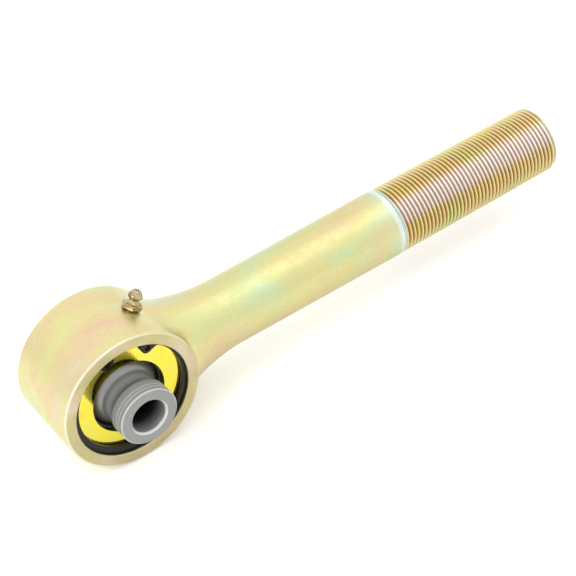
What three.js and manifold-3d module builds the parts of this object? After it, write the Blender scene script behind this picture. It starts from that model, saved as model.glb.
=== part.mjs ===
// Forged, greaseable rod end bearing with an external thread.
//
// Frame, in millimetres: the origin is the centre of the ball, which is also the centre of the
// eye's bore. +X runs along the shank to the threaded end, Y is the bore axis with the front
// face at -Y, and +Z is up, on the side of the grease fitting.

import * as THREE from 'three';
import { mergeVertices } from 'three/addons/utils/BufferGeometryUtils.js';
import Module from 'manifold-3d';

const wasm = await Module();
wasm.setup();

// ---------------------------------------------------------------- driving dimensions

const GAP = 0.3;                        // clearance left between neighbouring solids

const EYE_RADIUS = 32.5;
const EYE_HALF_WIDTH = 20.5;
const EYE_EDGE_CHAMFER = 0.9;
const BORE_RADIUS = 26.4;
const BORE_MOUTH_RADIUS = 27.0;         // outside the snap rings
const BORE_CHAMFER = 0.3;
const EYE_SEGMENTS = 64;

const RING_GROOVE_RADIUS = 27.8;
const RING_GROOVE_INNER_Y = 17.0;       // distance of the groove's inner wall from mid-plane
const RING_GROOVE_WIDTH = 2.1;

const NECK_INNER_X = 20;                // the neck's flare starts inside the eye
const NECK_OUTER_X = 60;                // and is tangent to the shank here
const NECK_FLARE_RADIUS = 86;
const NECK_HALF_WIDTH = 19.9;           // flats that keep the flare just below the eye's faces
const NECK_STEPS = 8;
const SHANK_RADIUS_AT_NECK = 15.45;
const SHANK_RADIUS_AT_THREAD = 16.05;
const SHANK_END_X = 147.6;
const SHANK_SEGMENTS = 48;
const SHOULDER_CHAMFER = 1.6;

const THREAD_MAJOR_RADIUS = 15.875;     // 1 1/4 in
const THREAD_PITCH = 25.4 / 12;
const THREAD_DEPTH = 0.6134 * THREAD_PITCH;
const THREAD_START_X = 145.5;           // hidden inside the shank
const THREAD_END_X = 239.2;
const THREAD_END_CHAMFER = 1.6;
const THREAD_SEGMENTS = 18;             // per turn

const BALL_RADIUS = 19.85;
const BALL_HALF_WIDTH = 66.675 / 2;     // 2 5/8 in across the end faces
const BALL_BORE_RADIUS = 15.875 / 2;    // 5/8 in bolt
const BALL_BORE_CHAMFER = 0.95;
const BALL_NECK_RADIUS = 11.6;
const BALL_NECK_START_Y = 17.6;         // where the neck fillet has come down to the neck
const BALL_NECK_FILLET = [0.35, 1.1];   // the fillet's middle point: above the neck, before its end
const BALL_NECK_ROOT = 0.6;             // bevel at the root of the collar
const BALL_SHOULDER_POLAR = 41;         // degrees from the bolt axis where the sphere stops
const COLLAR_RADIUS = 13.35;
const COLLAR_REAR_Y = 24.9;
const COLLAR_CHAMFER = 0.8;
const BALL_SPHERE_STEPS = 6;
const BALL_SEGMENTS = 36;

const RACE_SEAT_RADIUS = BALL_RADIUS + GAP;
const RACE_OUTER_RADIUS = BORE_RADIUS - GAP;
const RACE_INNER_Y = 0.6;               // half of the grease gap between the two races
const RACE_OUTER_Y = 13.9;
const RACE_LIP_Y = 12.2;                // the seat ends here in a lip that lets the neck lean out
const RACE_LIP_RADIUS = 16.7;
const RACE_SEAT_STEPS = 5;
const RACE_SEGMENTS = 36;

const WASHER_HOLE_RADIUS = 17.1;
const WASHER_OUTER_RADIUS = BORE_RADIUS - GAP;
const WASHER_INNER_Y = 14.2;
const WASHER_OUTER_Y = 16.9;
const WASHER_EDGE_CHAMFER = 0.3;

const SNAP_OUTER_RADIUS = 27.5;
const SNAP_BORE_RADIUS = 25.0;          // the inner circle is off centre, so the band tapers
const SNAP_BORE_OFFSET = 1.6;
const SNAP_THICKNESS = 1.6;
const SNAP_GAP_ANGLE = 6.5;             // degrees from +Z towards +X, middle of the open gap
const SNAP_HALF_GAP = 13.5;             // degrees from the middle of the gap to a lug's end
const SNAP_LUG_ANGLE = 23;              // degrees from the middle of the gap to a plier hole
const SNAP_LUG_TIP_RADIUS = 21.8;
const SNAP_HOLE_PITCH_RADIUS = 24.3;
const SNAP_HOLE_RADIUS = 1.25;
const SNAP_BAND_START_ANGLE = 36;       // degrees from the middle of the gap to the lug's far end
const SNAP_OUTER_STEPS = 40;
const SNAP_INNER_STEPS = 30;

const GREASE_ANGLE = 31.5;              // degrees from +Z towards +X
const GREASE_HOLE_RADIUS = 3.3;
const FITTING_THREAD_RADIUS = GREASE_HOLE_RADIUS - GAP;
const FITTING_THREAD_LENGTH = 5.2;
const FITTING_THREAD_CHAMFER = 0.4;
const FITTING_HEX_RADIUS = 4.62;        // across corners, 8 mm hex
const FITTING_HEX_BOTTOM = 0.7;
const FITTING_HEX_TOP = 2.8;
const FITTING_CONE_RADIUS = 3.45;       // foot of the cone that stands on the hexagon
const FITTING_NECK_RADIUS = 2.15;
const FITTING_NECK_BOTTOM = 4.1;
const FITTING_NECK_TOP = 4.6;
const FITTING_HEAD_RADIUS = 3.25;
const FITTING_HEAD_BOTTOM = 5.5;
const FITTING_HEAD_TOP = 6.7;
const FITTING_HEAD_ROUNDING = 0.2;
const FITTING_TOP = 8.7;
const FITTING_NOSE_RADIUS = 1.7;
const FITTING_NOSE_ROUNDING = 0.4;
const FITTING_SEGMENTS = 24;
const PASSAGE_RADIUS = 1.45;
const PASSAGE_INLET_RADIUS = 0.8;
const PASSAGE_LEDGE = 0.5;              // the spring stands on this ledge
const PASSAGE_SEAT_BOTTOM = 7.3;
const PASSAGE_SEAT_TOP = 8.0;
const MOUTH_RADIUS = 0.85;
const CHECK_BALL_RADIUS = 1.15;
const CHECK_BALL_HEIGHT = 7.12;
const SPRING_RADIUS = 1.05;
const SPRING_WIRE_RADIUS = 0.17;
const SPRING_TURNS = 5;
const SPRING_STEPS_PER_TURN = 8;
const SPRING_END_GAP = 0.1;             // between the wire and what it rests on

// ---------------------------------------------------------------- materials

function metal(color, roughness, metalness = 1) {
  return new THREE.MeshStandardMaterial({ color, roughness, metalness });
}

const MATERIALS = {
  yellowChromate: metal(0xd9cf86, 0.32),
  turnedSteel: metal(0x9c9c9a, 0.35),
  brightZinc: metal(0xf2dd3a, 0.18),
  blackPhosphate: metal(0x1d1b1c, 0.5, 0.6),
  blackPolymer: metal(0x101012, 0.45, 0),
  fittingZinc: metal(0xb98a4c, 0.28),
  springSteel: metal(0xa8a8a8, 0.3),
};

// ---------------------------------------------------------------- mesh helpers

// A closed three.js geometry as a manifold solid: seams merged, zero-area triangles dropped,
// faces turned outwards.
function solid(geometry) {
  const bare = geometry.clone();
  bare.deleteAttribute('normal');
  bare.deleteAttribute('uv');
  const merged = mergeVertices(bare, 1e-4);
  const index = Array.from(merged.index.array);
  const triangles = [];
  for (let i = 0; i < index.length; i += 3) {
    const [a, b, c] = index.slice(i, i + 3);
    if (a !== b && b !== c && c !== a) triangles.push([a, b, c]);
  }
  if (signedVolume(merged.attributes.position, triangles) < 0) {
    triangles.forEach((triangle) => triangle.reverse());
  }
  return new wasm.Manifold(new wasm.Mesh({
    numProp: 3,
    vertProperties: new Float32Array(merged.attributes.position.array),
    triVerts: new Uint32Array(triangles.flat()),
  }));
}

function signedVolume(position, triangles) {
  const [a, b, c] = [new THREE.Vector3(), new THREE.Vector3(), new THREE.Vector3()];
  let volume = 0;
  for (const [i, j, k] of triangles) {
    a.fromBufferAttribute(position, i);
    b.fromBufferAttribute(position, j);
    c.fromBufferAttribute(position, k);
    volume += a.dot(b.cross(c)) / 6;
  }
  return volume;
}

function geometryOf(manifold) {
  const mesh = manifold.getMesh();
  const geometry = new THREE.BufferGeometry();
  geometry.setAttribute('position', new THREE.BufferAttribute(mesh.vertProperties, 3));
  geometry.setIndex(new THREE.BufferAttribute(mesh.triVerts, 1));
  geometry.computeVertexNormals();
  return geometry;
}

function part(name, manifold, material) {
  const mesh = new THREE.Mesh(geometryOf(manifold), material);
  mesh.name = name;
  return mesh;
}

// Revolve a profile of [radius, height] points about Y, and turn it to another axis if asked.
function revolve(profile, segments, axis = 'y') {
  const points = profile.map(([radius, height]) => new THREE.Vector2(radius, height));
  const geometry = new THREE.LatheGeometry(points, segments);
  if (axis === 'x') geometry.rotateZ(-Math.PI / 2);
  if (axis === 'z') geometry.rotateX(Math.PI / 2);
  return solid(geometry);
}

function closed(profile) {
  return [...profile, profile[0]];
}

// The far half of a profile mirrored to the near half, so that both ends are alike.
function mirrored(halfProfile) {
  const near = halfProfile.map(([radius, height]) => [radius, -height]).reverse();
  return [...near, ...halfProfile];
}

// ---------------------------------------------------------------- housing

function eyeBlank() {
  const edge = EYE_HALF_WIDTH - EYE_EDGE_CHAMFER;
  return revolve([
    [0, -EYE_HALF_WIDTH],
    [EYE_RADIUS - EYE_EDGE_CHAMFER, -EYE_HALF_WIDTH],
    [EYE_RADIUS, -edge],
    [EYE_RADIUS, edge],
    [EYE_RADIUS - EYE_EDGE_CHAMFER, EYE_HALF_WIDTH],
    [0, EYE_HALF_WIDTH],
  ], EYE_SEGMENTS);
}

// Everything that is machined out of the eye: the bore, its two snap ring grooves and its
// chamfered mouths.
function boreCutter() {
  const reach = 2;
  const grooveOuterY = RING_GROOVE_INNER_Y + RING_GROOVE_WIDTH;
  const half = [
    [BORE_RADIUS, RING_GROOVE_INNER_Y],
    [RING_GROOVE_RADIUS, RING_GROOVE_INNER_Y],
    [RING_GROOVE_RADIUS, grooveOuterY],
    [BORE_MOUTH_RADIUS, grooveOuterY],
    [BORE_MOUTH_RADIUS, EYE_HALF_WIDTH - BORE_CHAMFER],
    [BORE_MOUTH_RADIUS + BORE_CHAMFER + reach, EYE_HALF_WIDTH + reach],
    [0, EYE_HALF_WIDTH + reach],
  ];
  return revolve(mirrored(half), EYE_SEGMENTS);
}

function neckRadius(x) {
  const fromTangent = NECK_OUTER_X - x;
  const drop = Math.sqrt(NECK_FLARE_RADIUS ** 2 - fromTangent ** 2);
  return SHANK_RADIUS_AT_NECK + NECK_FLARE_RADIUS - drop;
}

function neckAndShank() {
  const profile = [[0, NECK_INNER_X]];
  for (let i = 0; i <= NECK_STEPS; i += 1) {
    const x = THREE.MathUtils.lerp(NECK_INNER_X, NECK_OUTER_X, i / NECK_STEPS);
    profile.push([neckRadius(x), x]);
  }
  profile.push([SHANK_RADIUS_AT_THREAD, SHANK_END_X]);
  profile.push([SHANK_RADIUS_AT_THREAD - SHOULDER_CHAMFER, SHANK_END_X + SHOULDER_CHAMFER]);
  profile.push([0, SHANK_END_X + SHOULDER_CHAMFER]);
  const flats = new THREE.BoxGeometry(2 * SHANK_END_X, 2 * NECK_HALF_WIDTH, 4 * EYE_RADIUS);
  flats.translate(SHANK_END_X, 0, 0);
  return revolve(profile, SHANK_SEGMENTS, 'x').intersect(solid(flats));
}

// A rod with a real helical thread. Each column of vertices runs along X at one angle and holds
// the crest's two edges and the root for every pitch. Column N would be column 0 shifted by one
// pitch, so the last column is joined to column 0 three rows further on.
function threadedRod() {
  const crestFlat = THREAD_PITCH / 8;
  const rootRadius = THREAD_MAJOR_RADIUS - THREAD_DEPTH;
  const rows = [
    { at: 0, radius: THREAD_MAJOR_RADIUS },
    { at: crestFlat, radius: THREAD_MAJOR_RADIUS },
    { at: (crestFlat + THREAD_PITCH) / 2, radius: rootRadius },
  ];
  const perPitch = rows.length;
  const turns = Math.ceil((THREAD_END_X - THREAD_START_X) / THREAD_PITCH) + 1;
  const lastRow = turns * perPitch;
  const positions = [];
  const columns = [];
  const addVertex = (x, radius, angle) => {
    positions.push(x, radius * Math.cos(angle), radius * Math.sin(angle));
    return positions.length / 3 - 1;
  };
  for (let i = 0; i < THREAD_SEGMENTS; i += 1) {
    const share = i / THREAD_SEGMENTS;
    const rowCount = i === 0 ? lastRow + perPitch : lastRow;
    const column = [];
    for (let j = 0; j <= rowCount; j += 1) {
      const row = rows[j % perPitch];
      const pitches = Math.floor(j / perPitch) + share;
      const x = THREAD_START_X - THREAD_PITCH + pitches * THREAD_PITCH + row.at;
      column.push(addVertex(x, row.radius, 2 * Math.PI * share));
    }
    columns.push(column);
  }
  const at = (i, j) => (i === THREAD_SEGMENTS ? columns[0][j + perPitch] : columns[i][j]);
  const triangles = [];
  const startCentre = addVertex(THREAD_START_X - THREAD_PITCH, 0, 0);
  const endCentre = addVertex(THREAD_START_X + turns * THREAD_PITCH, 0, 0);
  for (let i = 0; i < THREAD_SEGMENTS; i += 1) {
    for (let j = 0; j < lastRow; j += 1) {
      triangles.push(at(i, j), at(i, j + 1), at(i + 1, j + 1));
      triangles.push(at(i, j), at(i + 1, j + 1), at(i + 1, j));
    }
    triangles.push(startCentre, at(i, 0), at(i + 1, 0));
    triangles.push(endCentre, at(i + 1, lastRow), at(i, lastRow));
  }
  for (let j = 0; j < perPitch; j += 1) {
    triangles.push(startCentre, columns[0][j + 1], columns[0][j]);
    triangles.push(endCentre, columns[0][lastRow + j], columns[0][lastRow + j + 1]);
  }
  const geometry = new THREE.BufferGeometry();
  geometry.setAttribute('position', new THREE.Float32BufferAttribute(positions, 3));
  geometry.setIndex(triangles);
  return solid(geometry);
}

function thread() {
  const outside = THREAD_MAJOR_RADIUS + 1;
  const chamferReach = THREAD_END_CHAMFER + 1;
  const envelope = revolve([
    [0, THREAD_START_X],
    [outside, THREAD_START_X],
    [outside, THREAD_END_X - chamferReach],
    [outside - chamferReach, THREAD_END_X],
    [0, THREAD_END_X],
  ], SHANK_SEGMENTS, 'x');
  return threadedRod().intersect(envelope);
}

function greaseHole() {
  const hole = new THREE.CylinderGeometry(GREASE_HOLE_RADIUS, GREASE_HOLE_RADIUS, EYE_RADIUS, 16);
  hole.rotateX(Math.PI / 2);
  hole.translate(0, 0, EYE_RADIUS);
  hole.rotateY(THREE.MathUtils.degToRad(GREASE_ANGLE));
  return solid(hole);
}

function housing() {
  return eyeBlank()
    .add(neckAndShank())
    .add(thread())
    .subtract(boreCutter())
    .subtract(greaseHole());
}

// ---------------------------------------------------------------- ball, races and washers

// A point at an angle in degrees from a drawing's second axis towards its first.
function polar(radius, degrees) {
  const angle = THREE.MathUtils.degToRad(degrees);
  return [radius * Math.sin(angle), radius * Math.cos(angle)];
}

function ball() {
  const half = [];
  for (let i = 0; i <= BALL_SPHERE_STEPS; i += 1) {
    const share = (i + 0.5) / (BALL_SPHERE_STEPS + 0.5);
    half.push(polar(BALL_RADIUS, THREE.MathUtils.lerp(90, BALL_SHOULDER_POLAR, share)));
  }
  const [filletRise, filletRun] = BALL_NECK_FILLET;
  half.push([BALL_NECK_RADIUS + filletRise, BALL_NECK_START_Y - filletRun]);
  half.push([BALL_NECK_RADIUS, BALL_NECK_START_Y]);
  half.push([BALL_NECK_RADIUS, COLLAR_REAR_Y - BALL_NECK_ROOT]);
  half.push([BALL_NECK_RADIUS + BALL_NECK_ROOT, COLLAR_REAR_Y]);
  half.push([COLLAR_RADIUS, COLLAR_REAR_Y]);
  half.push([COLLAR_RADIUS, BALL_HALF_WIDTH - COLLAR_CHAMFER]);
  half.push([COLLAR_RADIUS - COLLAR_CHAMFER, BALL_HALF_WIDTH]);
  half.push([BALL_BORE_RADIUS + BALL_BORE_CHAMFER, BALL_HALF_WIDTH]);
  half.push([BALL_BORE_RADIUS, BALL_HALF_WIDTH - BALL_BORE_CHAMFER]);
  return revolve(closed(mirrored(half)), BALL_SEGMENTS);
}

function race(side) {
  const profile = [
    [RACE_OUTER_RADIUS, side * RACE_INNER_Y],
    [RACE_OUTER_RADIUS, side * RACE_OUTER_Y],
    [RACE_LIP_RADIUS, side * RACE_OUTER_Y],
  ];
  for (let i = RACE_SEAT_STEPS; i >= 0; i -= 1) {
    const y = THREE.MathUtils.lerp(RACE_INNER_Y, RACE_LIP_Y, i / RACE_SEAT_STEPS);
    profile.push([Math.sqrt(RACE_SEAT_RADIUS ** 2 - y ** 2), side * y]);
  }
  return revolve(closed(profile), RACE_SEGMENTS);
}

function sideWasher(side) {
  const outerY = side * WASHER_OUTER_Y;
  const chamferY = side * (WASHER_OUTER_Y - WASHER_EDGE_CHAMFER);
  return revolve(closed([
    [WASHER_OUTER_RADIUS, side * WASHER_INNER_Y],
    [WASHER_OUTER_RADIUS, outerY],
    [WASHER_HOLE_RADIUS + WASHER_EDGE_CHAMFER, outerY],
    [WASHER_HOLE_RADIUS, chamferY],
    [WASHER_HOLE_RADIUS, side * WASHER_INNER_Y],
  ]), RACE_SEGMENTS);
}

// ---------------------------------------------------------------- snap rings

function snapBandInnerRadius(degrees) {
  const angle = THREE.MathUtils.degToRad(degrees);
  const across = SNAP_BORE_OFFSET * Math.sin(angle);
  return SNAP_BORE_OFFSET * Math.cos(angle) + Math.sqrt(SNAP_BORE_RADIUS ** 2 - across ** 2);
}

// The ring is drawn in its own plane with the middle of its open gap on the drawing's +Y.
function snapRing(side) {
  const shape = new THREE.Shape();
  shape.moveTo(...polar(SNAP_OUTER_RADIUS, SNAP_HALF_GAP));
  for (let i = 1; i <= SNAP_OUTER_STEPS; i += 1) {
    const share = i / SNAP_OUTER_STEPS;
    const degrees = THREE.MathUtils.lerp(SNAP_HALF_GAP, 360 - SNAP_HALF_GAP, share);
    shape.lineTo(...polar(SNAP_OUTER_RADIUS, degrees));
  }
  drawLug(shape, -1);
  for (let i = 0; i <= SNAP_INNER_STEPS; i += 1) {
    const share = i / SNAP_INNER_STEPS;
    const degrees = THREE.MathUtils.lerp(360 - SNAP_BAND_START_ANGLE, SNAP_BAND_START_ANGLE, share);
    shape.lineTo(...polar(snapBandInnerRadius(degrees), degrees));
  }
  drawLug(shape, 1);
  for (const hand of [-1, 1]) {
    const [x, y] = polar(SNAP_HOLE_PITCH_RADIUS, hand * SNAP_LUG_ANGLE);
    shape.holes.push(new THREE.Path().absarc(x, y, SNAP_HOLE_RADIUS, 0, 2 * Math.PI));
  }
  const geometry = new THREE.ExtrudeGeometry(shape, {
    depth: SNAP_THICKNESS,
    bevelEnabled: false,
    curveSegments: 4,
  });
  geometry.translate(0, 0, -SNAP_THICKNESS / 2);
  geometry.rotateX(Math.PI / 2);
  geometry.rotateY(THREE.MathUtils.degToRad(SNAP_GAP_ANGLE));
  geometry.translate(0, side * (RING_GROOVE_INNER_Y + RING_GROOVE_WIDTH / 2), 0);
  return solid(geometry);
}

// A lug's rounded outline, from the gap to the band on the right of the gap (hand 1), or from
// the band to the gap on its left (hand -1).
function drawLug(shape, hand) {
  const outline = [
    polar(SNAP_OUTER_RADIUS - 2.4, hand * (SNAP_HALF_GAP + 0.5)),
    polar(SNAP_LUG_TIP_RADIUS + 0.5, hand * (SNAP_LUG_ANGLE - 5)),
    polar(SNAP_LUG_TIP_RADIUS, hand * (SNAP_LUG_ANGLE - 1)),
    polar(SNAP_LUG_TIP_RADIUS + 0.5, hand * (SNAP_LUG_ANGLE + 4)),
    polar(SNAP_LUG_TIP_RADIUS + 3.4, hand * (SNAP_LUG_ANGLE + 8)),
  ];
  const points = hand === 1 ? outline.reverse() : outline;
  points.forEach((point) => shape.lineTo(...point));
}

// ---------------------------------------------------------------- grease fitting

// The fitting is drawn along +Z with its foot at the eye's surface.
function fittingBody() {
  const outside = revolve([
    [0, -FITTING_THREAD_LENGTH],
    [FITTING_THREAD_RADIUS - FITTING_THREAD_CHAMFER, -FITTING_THREAD_LENGTH],
    [FITTING_THREAD_RADIUS, -FITTING_THREAD_LENGTH + FITTING_THREAD_CHAMFER],
    [FITTING_THREAD_RADIUS, (FITTING_HEX_BOTTOM + FITTING_HEX_TOP) / 2],
    [FITTING_CONE_RADIUS, (FITTING_HEX_BOTTOM + FITTING_HEX_TOP) / 2],
    [FITTING_CONE_RADIUS, FITTING_HEX_TOP],
    [FITTING_NECK_RADIUS, FITTING_NECK_BOTTOM],
    [FITTING_NECK_RADIUS, FITTING_NECK_TOP],
    [FITTING_HEAD_RADIUS - FITTING_HEAD_ROUNDING, FITTING_HEAD_BOTTOM - FITTING_HEAD_ROUNDING],
    [FITTING_HEAD_RADIUS, FITTING_HEAD_BOTTOM],
    [FITTING_HEAD_RADIUS, FITTING_HEAD_TOP],
    [FITTING_NOSE_RADIUS + FITTING_NOSE_ROUNDING, FITTING_TOP - FITTING_NOSE_ROUNDING],
    [FITTING_NOSE_RADIUS, FITTING_TOP],
    [0, FITTING_TOP],
  ], FITTING_SEGMENTS, 'z');
  const hexHeight = FITTING_HEX_TOP - FITTING_HEX_BOTTOM;
  const hex = new THREE.CylinderGeometry(FITTING_HEX_RADIUS, FITTING_HEX_RADIUS, hexHeight, 6);
  hex.rotateX(Math.PI / 2);
  hex.translate(0, 0, FITTING_HEX_BOTTOM + hexHeight / 2);
  const passage = revolve([
    [0, -FITTING_THREAD_LENGTH - 1],
    [PASSAGE_INLET_RADIUS, -FITTING_THREAD_LENGTH - 1],
    [PASSAGE_INLET_RADIUS, PASSAGE_LEDGE],
    [PASSAGE_RADIUS, PASSAGE_LEDGE],
    [PASSAGE_RADIUS, PASSAGE_SEAT_BOTTOM],
    [MOUTH_RADIUS, PASSAGE_SEAT_TOP],
    [MOUTH_RADIUS, FITTING_TOP + 1],
    [0, FITTING_TOP + 1],
  ], 12, 'z');
  return outside.add(solid(hex)).subtract(passage);
}

function checkBall() {
  return solid(new THREE.SphereGeometry(CHECK_BALL_RADIUS, 12, 8));
}

function checkSpring() {
  const bottom = PASSAGE_LEDGE + SPRING_WIRE_RADIUS + SPRING_END_GAP;
  const top = CHECK_BALL_HEIGHT - CHECK_BALL_RADIUS - SPRING_WIRE_RADIUS - SPRING_END_GAP;
  const steps = SPRING_TURNS * SPRING_STEPS_PER_TURN;
  const points = [];
  for (let i = 0; i <= steps; i += 1) {
    const share = i / steps;
    const angle = 2 * Math.PI * SPRING_TURNS * share;
    const height = THREE.MathUtils.lerp(bottom, top, share);
    const x = SPRING_RADIUS * Math.cos(angle);
    points.push(new THREE.Vector3(x, SPRING_RADIUS * Math.sin(angle), height));
  }
  const wire = new THREE.Shape().absarc(0, 0, SPRING_WIRE_RADIUS, 0, 2 * Math.PI);
  return solid(new THREE.ExtrudeGeometry(wire, {
    extrudePath: new THREE.CatmullRomCurve3(points),
    steps,
    bevelEnabled: false,
    curveSegments: 3,
  }));
}

function greaseFitting() {
  const fitting = new THREE.Group();
  const checkBallMesh = part('grease_check_ball', checkBall(), MATERIALS.springSteel);
  checkBallMesh.position.z = CHECK_BALL_HEIGHT;
  fitting.add(part('grease_fitting_body', fittingBody(), MATERIALS.fittingZinc));
  fitting.add(checkBallMesh);
  fitting.add(part('grease_spring', checkSpring(), MATERIALS.springSteel));
  const angle = THREE.MathUtils.degToRad(GREASE_ANGLE);
  fitting.rotation.y = angle;
  fitting.position.set(EYE_RADIUS * Math.sin(angle), 0, EYE_RADIUS * Math.cos(angle));
  return fitting;
}

// ---------------------------------------------------------------- assembly

const rodEnd = new THREE.Group();
rodEnd.add(part('rod_end_housing', housing(), MATERIALS.yellowChromate));
rodEnd.add(part('ball', ball(), MATERIALS.turnedSteel));
for (const [sideName, side] of [['front', -1], ['back', 1]]) {
  rodEnd.add(part(`${sideName}_race`, race(side), MATERIALS.blackPolymer));
  rodEnd.add(part(`${sideName}_side_washer`, sideWasher(side), MATERIALS.brightZinc));
  rodEnd.add(part(`${sideName}_snap_ring`, snapRing(side), MATERIALS.blackPhosphate));
}
rodEnd.add(greaseFitting());

export default rodEnd;
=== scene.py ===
# The looks of a forged, greaseable rod end bearing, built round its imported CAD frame.
# Shapes are worked out in millimetres in the frame's own axes (X along the shank, Y along the
# bolt, Z up) and become metres when a mesh is made.

import math

import bmesh
import bpy
import numpy as np
from mathutils import Matrix, Vector


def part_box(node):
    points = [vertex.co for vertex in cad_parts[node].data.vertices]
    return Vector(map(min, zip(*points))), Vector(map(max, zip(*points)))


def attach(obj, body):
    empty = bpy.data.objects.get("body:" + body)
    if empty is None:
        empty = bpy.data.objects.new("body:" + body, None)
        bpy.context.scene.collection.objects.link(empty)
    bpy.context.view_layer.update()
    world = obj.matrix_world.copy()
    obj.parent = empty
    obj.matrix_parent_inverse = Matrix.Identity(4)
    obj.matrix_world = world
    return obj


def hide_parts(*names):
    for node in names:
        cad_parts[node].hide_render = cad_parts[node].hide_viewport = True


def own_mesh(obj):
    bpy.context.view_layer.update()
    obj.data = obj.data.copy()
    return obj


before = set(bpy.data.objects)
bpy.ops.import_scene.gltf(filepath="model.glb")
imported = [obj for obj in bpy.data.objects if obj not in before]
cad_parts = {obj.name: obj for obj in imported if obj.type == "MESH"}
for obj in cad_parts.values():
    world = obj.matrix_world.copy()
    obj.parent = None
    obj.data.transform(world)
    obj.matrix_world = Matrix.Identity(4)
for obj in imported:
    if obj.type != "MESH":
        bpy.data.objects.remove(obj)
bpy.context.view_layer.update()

MM = 0.001

# ------------------------------------------------------------------ sizes read from the frame


def box_mm(node):
    low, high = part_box(node)
    return low / MM, high / MM


housing_low, housing_high = box_mm("rod_end_housing")
ball_low, ball_high = box_mm("ball")
race_low, race_high = box_mm("back_race")
washer_low, washer_high = box_mm("back_side_washer")
ring_low, ring_high = box_mm("back_snap_ring")

EYE_RADIUS = -housing_low.x
EYE_HALF_WIDTH = -housing_low.y
THREAD_END_X = housing_high.x
BALL_HALF_WIDTH = ball_high.y
RACE_OUTER_RADIUS = race_high.z
RACE_INNER_Y = race_low.y
RACE_OUTER_Y = race_high.y
WASHER_OUTER_RADIUS = washer_high.z
WASHER_INNER_Y = washer_low.y
WASHER_OUTER_Y = washer_high.y
RING_OUTER_RADIUS = -ring_low.z
RING_INNER_Y = ring_low.y
RING_THICKNESS = ring_high.y - ring_low.y

# ------------------------------------------------------------------ driving dimensions

RIM_CHAMFER = 0.9
BORE_RADIUS = 26.4
BORE_MOUTH_RADIUS = 27.0     # outside the snap rings
BORE_CHAMFER = 0.3
GROOVE_RADIUS = 27.8
GROOVE_INNER_Y = 17.0
GROOVE_WIDTH = 2.1

SHANK_RADIUS_AT_NECK = 15.45
SHANK_RADIUS_AT_THREAD = 16.05
NECK_OUTER_X = 60.0          # the flare is tangent to the shank here
NECK_FLARE_RADIUS = 86.0
NECK_FLARE_REACH = 44.0
NECK_HALF_WIDTH = 19.3       # the forging's flats, just under the rim
NECK_BLEND = 13.0            # how softly the neck runs into the eye's wall
SHANK_END_X = 147.6
SHOULDER_CHAMFER = 1.6

THREAD_RADIUS = 15.875
THREAD_PITCH = 25.4 / 12
THREAD_DEPTH = 0.6134 * THREAD_PITCH
THREAD_END_CHAMFER = 1.6
# One pitch of the thread, from root to root: share of the pitch, share of the depth.
THREAD_SHAPE = [
    (-0.5, 1.0), (-0.44, 0.985), (-0.385, 0.9), (-0.24, 0.5), (-0.095, 0.09), (-0.062, 0.02),
    (-0.03, 0.0), (0.03, 0.0), (0.062, 0.02), (0.095, 0.09), (0.24, 0.5), (0.385, 0.9),
    (0.44, 0.985),
]

BALL_RADIUS = 19.85
BALL_NECK_RADIUS = 11.6
BALL_NECK_FILLET = 3.0
BALL_BORE_RADIUS = 15.875 / 2
BALL_BORE_CHAMFER = 0.95
COLLAR_RADIUS = 13.35
COLLAR_REAR_Y = 24.9
COLLAR_ROOT_FILLET = 0.6
COLLAR_CHAMFER = 0.8
COLLAR_GROOVES = (28.2, 30.1)
COLLAR_GROOVE_WIDTH = 0.5
COLLAR_GROOVE_DEPTH = 0.25

RACE_SEAT_RADIUS = 20.15
RACE_LIP_Y = 12.2
RACE_LIP_RADIUS = 16.7
WASHER_HOLE_RADIUS = 17.1
WASHER_EDGE = 0.3

RING_BORE_RADIUS = 25.0      # off centre, so the band tapers towards the gap
RING_BORE_OFFSET = 1.6
RING_GAP_ANGLE = 6.5         # degrees from +Z towards +X
RING_HALF_GAP = 13.5
RING_LUG_ANGLE = 23.0
RING_LUG_TIP_RADIUS = 21.8
RING_LUG_END_ANGLE = 36.0
RING_HOLE_PITCH_RADIUS = 24.3
RING_HOLE_RADIUS = 1.25
RING_EDGE = 0.14

GREASE_ANGLE = 31.5          # degrees from +Z towards +X
GREASE_HOLE_RADIUS = 3.3
GREASE_HOLE_REACH = 8.0      # the drill, each way from the eye's wall
FITTING_STEM_RADIUS = 3.0
FITTING_STEM_BOTTOM = -5.2
HEX_ACROSS_FLATS = 8.0
HEX_BOTTOM = 0.7
HEX_TOP = 2.8
PASSAGE_RADIUS = 1.45
PASSAGE_INLET_RADIUS = 0.8
PASSAGE_LEDGE = 0.5
PASSAGE_SEAT_BOTTOM = 7.3
PASSAGE_SEAT_TOP = 8.0
FITTING_TOP = 8.7
FITTING_SEAT_RADIUS = 3.3    # the turned part inside the hexagon and just above it
FITTING_SEAT_BOTTOM = 1.4
FITTING_NECK_RADIUS = 2.15
FITTING_NECK_BOTTOM = 4.05
FITTING_NECK_TOP = 4.6
FITTING_HEAD_RADIUS = 3.25
FITTING_HEAD_EDGE_RADIUS = 3.1
FITTING_HEAD_BOTTOM = 5.35
FITTING_HEAD_MIDDLE = 6.05
FITTING_HEAD_TOP = 6.7
FITTING_NOSE_RADIUS = 2.05
FITTING_NOSE_EDGE = 8.3
FITTING_TIP_RADIUS = 1.7
MOUTH_RADIUS = 0.85
CHECK_BALL_RADIUS = 1.15
CHECK_BALL_HEIGHT = 7.12
SPRING_RADIUS = 1.05
SPRING_WIRE_RADIUS = 0.17
SPRING_TURNS = 5
SPRING_END_GAP = 0.1

RIM_SEGMENTS = 192           # round the eye; a multiple of four
TOP_SEGMENTS = 24            # across the eye's width
FLARE_STEPS = 72
SHANK_STEPS = 24

# ------------------------------------------------------------------ mesh helpers


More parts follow.
